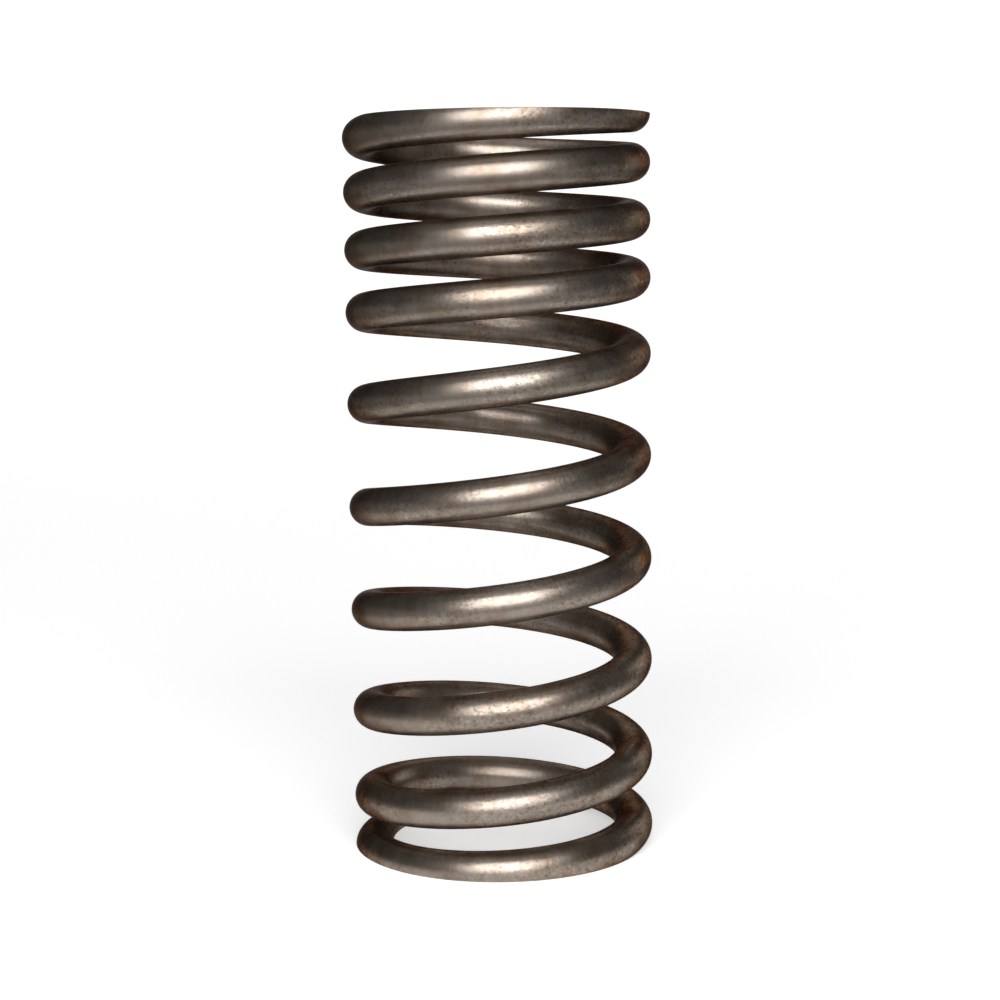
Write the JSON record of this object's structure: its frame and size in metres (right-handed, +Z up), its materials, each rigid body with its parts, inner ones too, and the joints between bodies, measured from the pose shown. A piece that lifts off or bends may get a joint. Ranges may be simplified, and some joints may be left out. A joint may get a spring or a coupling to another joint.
{
  "type": "valve spring",
  "caption": "Helical compression spring of round steel wire, wound right-handed with a progressive pitch, with closed and ground ends, for closing an engine valve.",
  "frame": {"origin": "on the coil axis, at the lower ground face", "axes": "+Z up along the coil axis, towards the close coils; +X towards the upper wire tip, within 4 degrees"},
  "size_m": [0.028, 0.028, 0.0675],
  "materials": {
    "spring_steel": "dark oil-tempered steel with a brown-grey sheen and fine pitting"
  },
  "bodies": {
    "root": {"valve_spring": "spring_steel"}
  },
  "joints": []
}
